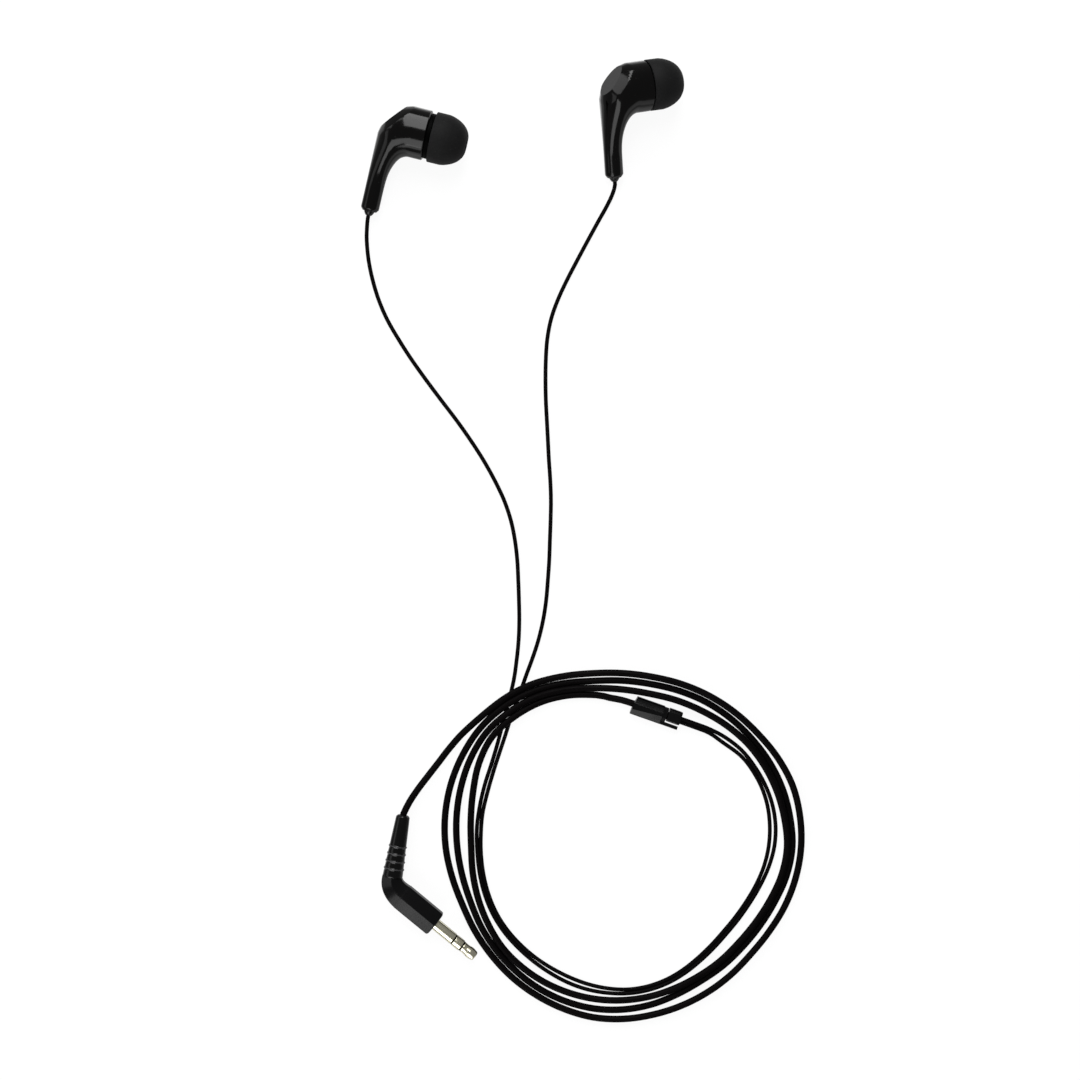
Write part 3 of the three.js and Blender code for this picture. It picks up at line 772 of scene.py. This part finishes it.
def add_turned(name, profile, material, place, segments=64, corner=0.0, sharp=32):
    closed = tuple(profile[0]) == tuple(profile[-1])
    if corner:
        outline = profile[:-1] if closed else profile
        profile = rounded(outline, corner, closed=closed)
        if closed:
            profile.append(profile[0])
    verts, faces = lathe(profile, segments)
    return make_piece(name, verts, faces, material, place, sharp=sharp)


def settle(piece, body, slot, *nodes):
    """The piece rides on a body and stands for CAD nodes. The slot is not used."""
    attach(piece, body)
    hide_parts(*nodes)
    return piece


def tip_profile():
    dome = [(12.2, TIP_R), (13.8, 7), (15.7, 6.2), (17.2, 5.1), (18.2, 3.8), (TIP_FRONT, 2.8)]
    dome = [tuple(p[:2]) for p in through([(x, r, 0) for x, r in dome], 0.35)]
    mouth = [(TIP_FRONT + 0.05, 2.5), (TIP_FRONT - 0.15, 2.25), (16.2, 2.2)]
    sleeve = [
        (16.2, 3), (9.6, 3), (9.6, 3.8), (15.6, 3.8), (16.1, 4.6), (15, 5.7), (13.5, 6.4), (12.1, 6.8),
    ]
    base = [(TIP_BACK + 0.1, 6.85), (TIP_BACK, 6.95), (TIP_BACK, TIP_R - 0.15), (TIP_BACK + 0.15, TIP_R)]
    return base + dome + mouth + sleeve + [base[0]]


def add_nozzle_mesh(side, place):
    """A woven wire screen in a thin rim, in the nozzle's mouth."""
    radius, middle, pitch, wire = 1.65, 14.4, 0.3, 0.06
    verts, faces = [], []
    angles = np.linspace(0, 2 * math.pi, 5, endpoint=False)
    sides = [(wire * math.cos(t), wire * math.sin(t)) for t in angles]

    def append(part):
        start = len(verts)
        verts.extend(part[0])
        faces.extend([[start + i for i in face] for face in part[1]])

    for direction in (0, 1):
        for k in range(-5, 6):
            offset = k * pitch
            reach = math.sqrt(max(0.01, radius**2 - offset**2)) - 0.02
            count = max(6, round(reach * 2 / 0.1))
            along = np.linspace(-reach, reach, count)
            wave = 0.05 * np.cos(np.pi * (along / pitch + k + direction))
            still = along * 0 + offset
            across = (along, still) if direction else (still, along)
            line = np.stack([middle + wave, *across], axis=-1)
            rings = [
                [(x + a, y + b * (not direction), z + b * direction) for a, b in sides]
                for x, y, z in line
            ]
            append(loft(rings))
    append(lathe([(14.25, 1.55), (14.25, 1.72), (14.55, 1.72), (14.55, 1.55), (14.25, 1.55)], 40))
    return make_piece(f"{side}_nozzle_screen", verts, faces, STEEL, place)


def add_earbud(side, bud):
    place, body = bud_frame(bud), f"{side}_earbud"
    shell = add_housing(side, bud)
    settle(shell, body, "gloss_housing", f"{side}_housing")
    back, collar = BARREL_FRONT + 0.12, CAVITY_R - 0.15
    cover = add_turned(
        f"{side}_nozzle_cover",
        [(5.6, 5.2), (5.6, collar), (back, collar), (back, 6.6), (8.25, 6.6), (8.25, NOZZLE_R),
         (14.2, NOZZLE_R), (14.4, 2.6), (14.9, 2.6), (15.1, NOZZLE_R),
         (15.1, 1.8), (7.6, 1.8), (7.6, 5.2), (5.6, 5.2)],
        MATTE, place, corner=0.15,
    )
    settle(cover, body, "matte_cover", f"{side}_front_cover")
    settle(add_nozzle_mesh(side, place), body, "steel_parts", f"{side}_nozzle_mesh")
    bushing = add_turned(
        f"{side}_cord_bushing",
        [(SWING_Y - 0.4, 0.62), (SWING_Y - 0.4, 0.85), (SWING_Y + 0.1, 1.25), (STEM_END - 0.15, 1.55),
         (STEM_END + 0.3, 1.5), (-23, 1.45), (-23, 0.62), (SWING_Y - 0.4, 0.62)],
        RELIEF, place @ Matrix.Translation((STEM_X, 0, 0)) @ UPRIGHT, segments=40, corner=0.2,
    )
    settle(bushing, body, "matte_cover", f"{side}_stem_bushing")
    verts, faces = lathe(tip_profile(), 80)
    tip = make_piece(f"{side}_silicone_tip", verts, faces, SILICONE, tip_frame(bud), sharp=50)
    settle(tip, f"{side}_tip", "silicone_tip", f"{side}_ear_tip")


add_earbud("left", LEFT_BUD)
add_earbud("right", RIGHT_BUD)


# ---- Y-split and slider ----

def join_shapes(name, parts, cuts, material):
    """One closed piece from overlapping closed parts, less the cuts."""
    shapes = [
        make_piece(f"{name}_{i}", *part, material, SPLIT_FRAME, flat=True)
        for i, part in enumerate(parts + cuts)
    ]
    base = shapes[0]
    for i, other in enumerate(shapes[1:], 1):
        step = base.modifiers.new("join", "BOOLEAN")
        step.object = other
        step.operation = "UNION" if i < len(parts) else "DIFFERENCE"
        step.solver = "EXACT"
    evaluated = base.evaluated_get(bpy.context.evaluated_depsgraph_get())
    mesh = bpy.data.meshes.new_from_object(evaluated)
    mesh.materials.clear()
    for shape in shapes:
        bpy.data.objects.remove(shape)
    return finish_piece(name, mesh, material, sharp=4, bevel=0.08, bevel_angle=4)


def sections(outline_at, places):
    """A skin through outlines of (y, z) points at places along X."""
    return loft([[(x, y, z) for y, z in outline_at(x)] for x in places])


def split_outline(x):
    """The Y-split's section: a flat slope on the inner side, a rounded top and a plain outer side."""
    share = min(1, max(0, x / 9.1))
    shoulder = 1.0 + 1.75 * min(1, max(0, x / 0.6)) ** 2
    slope_low, slope_high = -2.65 + 1.0 * share, -1.2 + 0.85 * share
    return [
        (-2.75, 0.3), (-2.75, 2.6), (slope_low, 3.0), (slope_high, 4.15),
        (-0.1, 4.2), (0.6, 4.22), (1.0, 4.12), (min(1.6, shoulder), 3.85), (min(2.2, shoulder), 3.4),
        (shoulder, 2.7), (shoulder, 0.5), (shoulder - 0.5, 0), (-2.4, 0),
    ]


def add_split():
    ends = [0, 0.15, 0.3, 0.45, 0.6, 0.9, 3, 5, 7, 9.1]
    body = sections(split_outline, ends)
    neck = sections(
        lambda x: [(-1.8, 0.5), (-1.8, 2.2), (-0.7, 3.3), (1.9, 3.3), (2.55, 2.7), (2.55, 0.5)],
        [8.5, 10.45],
    )
    rail = sections(
        lambda x: [
            (-2.75, 0.3), (-2.75, 2.1), (-2.55, 2.35), (-1.85 + 0.012 * x, 2.35),
            (-1.65 - 0.01 * x, 2.1), (-1.65 - 0.01 * x, 0.3),
        ],
        [5, 9, PRONG_LENGTH - 0.35, PRONG_LENGTH],
    )
    split = join_shapes("y_split_moulding", [body, neck, rail], [], GRIP)
    settle(split, "root", "moulded_grip", "y_split")


def slider_outline(x):
    end = max(0, x - (SLIDER_START + SLIDER_LENGTH - 0.75)) / 0.75
    top, inner, outer = 3.8 - 0.4 * end, -1.25 + 0.1 * end, 2.75 - 0.1 * end
    return [
        (inner + 0.5, 0), (inner, 0.5), (inner, top - 0.35), (inner + 0.15, top - 0.1), (inner + 0.4, top),
        (outer - 1.0, top), (outer - 0.4, top - 0.25), (outer, top - 0.8), (outer, 0.5), (outer - 0.5, 0),
    ]


def add_slider():
    start, end = SLIDER_START, SLIDER_START + SLIDER_LENGTH
    outside = sections(slider_outline, [start, start + 0.2, end - 0.75, end])
    across, up = 2 * EAR_CORD_R + 0.12, EAR_CORD_R + 0.22
    bore = sections(
        lambda x: rounded(
            [(CORD_Y - across, CORD_LEVEL - up), (CORD_Y - across, CORD_LEVEL + up),
             (CORD_Y + across, CORD_LEVEL + up), (CORD_Y + across, CORD_LEVEL - up)],
            0.55, steps=5, closed=True,
        ),
        [start - 1, end + 1],
    )
    slider = join_shapes("cord_slider", [outside], [bore], GRIP)
    settle(slider, "cinch", "moulded_grip", "slider")


add_split()
add_slider()


# ---- Plug ----

# The grip's section in shares of its half size: a ridge on top, sloping shoulders and a flat underside.
GRIP_SECTION = [(0, 1), (-0.97, 0.36), (-1, -0.36), (-0.5, -1), (0.5, -1), (1, -0.36), (0.97, 0.36)]


def add_plug_grip():
    low, corner, back = (np.array(p, float) for p in (RELIEF_LOW, ELBOW_CORNER, (GRIP_BACK, 0)))
    rings = []

    def add_ring(place, tangent, half):
        tangent = tangent / np.linalg.norm(tangent)
        side = np.array([tangent[1], -tangent[0]])
        rings.append([
            (place[0] + side[0] * across * half, place[1] + side[1] * across * half, up * half)
            for across, up in GRIP_SECTION
        ])

    steps = 14
    for i in range(steps + 1):
        t = i / steps
        place = (1 - t) ** 2 * low + 2 * t * (1 - t) * corner + t**2 * back
        tangent = 2 * (1 - t) * (corner - low) + 2 * t * (back - corner)
        add_ring(place, tangent, 3.0 + 0.84 * t)
    ahead = np.array([1.0, 0.0])
    block = [
        (GRIP_BACK + 0.3, GRIP_HALF), (-6, GRIP_HALF), (-0.35, GRIP_HALF - 0.03),
        (0.05, GRIP_HALF - 0.5),
    ]
    for x, half in block:
        add_ring(np.array([x, 0.0]), ahead, half)
    verts, faces = loft(rings)
    grip = make_piece("plug_body", verts, faces, GRIP, PLUG_FRAME, sharp=20, bevel=0.22, bevel_angle=18)
    settle(grip, "root", "moulded_grip", "plug_grip")
    return grip


def add_plug_relief():
    """The tapered strain relief, with thin ribs round it."""
    radius_at = lambda along: 2.95 - 0.95 * along / RELIEF_LENGTH
    first, spacing, ribs, ribs_end = 2.3, 2.2, 4, RELIEF_LENGTH - 6
    profile = [(-0.4, 0), (-0.4, 2.7), (0.1, radius_at(0)), (1.4, radius_at(1.4))]
    for i in range(ribs):
        ring = first + spacing * i
        wall = radius_at(ring)
        crest = wall + 0.22
        profile += [(ring - 0.48, wall), (ring - 0.08, crest), (ring + 0.08, crest), (ring + 0.3, wall)]
    top = radius_at(RELIEF_LENGTH)
    profile += [
        (RELIEF_LENGTH - 2, radius_at(RELIEF_LENGTH - 2)), (RELIEF_LENGTH - 0.5, top),
        (RELIEF_LENGTH, top - 0.5), (RELIEF_LENGTH, 0),
    ]
    relief = add_turned(
        "plug_relief_boot", profile, RELIEF, relief_frame(), segments=56, corner=0.09, sharp=60,
    )
    # The rib crests take the lighter material, a painted highlight and not wear.
    relief.data.materials.append(RIB_HIGHLIGHT)
    inward = (Matrix.Scale(MM, 4) @ relief_frame()).inverted()
    for face in relief.data.polygons:
        along, *across = inward @ face.center
        if 1 < along < ribs_end and math.hypot(*across) > radius_at(along) + 0.13:
            face.material_index = 1
    settle(relief, "root", "soft_relief", "plug_strain_relief")
    return relief


def add_plug_shaft():
    rear = -5
    parts = [
        ("plug_sleeve", "plug_sleeve_contact", NICKEL, "plug_metal",
         [(rear, 1.35), (rear, SHAFT_R), (SLEEVE_END, SHAFT_R), (SLEEVE_END, 1.35), (rear, 1.35)], 0.08),
        ("plug_outer_band", "plug_outer_insulator", INSULATOR, "plug_insulator",
         [(rear, 1.15), (rear, 1.3), (SLEEVE_END + 0.02, 1.3), (SLEEVE_END + 0.02, 1.6),
          (RING_START - 0.02, 1.6), (RING_START - 0.02, 1.15), (rear, 1.15)], 0.0),
        ("plug_ring", "plug_ring_contact", NICKEL, "plug_metal",
         [(rear, 0.85), (rear, 1.1), (RING_START, 1.1), (RING_START, SHAFT_R), (RING_END, SHAFT_R),
          (RING_END, 0.85), (rear, 0.85)], 0.08),
        ("plug_inner_band", "plug_inner_insulator", INSULATOR, "plug_insulator",
         [(rear, 0.65), (rear, 0.8), (RING_END + 0.02, 0.8), (RING_END + 0.02, 1.55),
          (TIP_START - 0.02, 1.55), (TIP_START - 0.02, 0.65), (rear, 0.65)], 0.0),
        ("plug_tip", "plug_tip_contact", NICKEL, "plug_metal",
         [(rear, 0), (rear, 0.6), (TIP_START, 0.6), (TIP_START, 1.6), (10.9, 1.5), (11.6, 1.5),
          (12.9, 1.72), (13.6, 1.66), (14.6, 1.5), (SHAFT_END, 1.2), (SHAFT_END, 0)], 0.2),
    ]
    made = []
    for name, node, material, slot, profile, corner in parts:
        part = add_turned(name, profile, material, PLUG_FRAME, segments=56, corner=corner, sharp=40)
        made.append(settle(part, "root", slot, node))
    return made


plug_grip = add_plug_grip()
plug_relief = add_plug_relief()
plug_shaft = add_plug_shaft()


# ---- The pieces inside, which keep their CAD shapes ----

INNER_MATERIALS = {
    "terminal_board": BOARD, "yoke_cup": STEEL, "magnet": STEEL, "pole_plate": STEEL, "voice_coil": COPPER,
    "driver_frame": MATTE, "diaphragm": FILM, "inner_lead": JACKET,
}
for side in ("left", "right"):
    for part, material in INNER_MATERIALS.items():
        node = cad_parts[f"{side}_{part}"]
        node.data.materials.clear()
        node.data.materials.append(material)
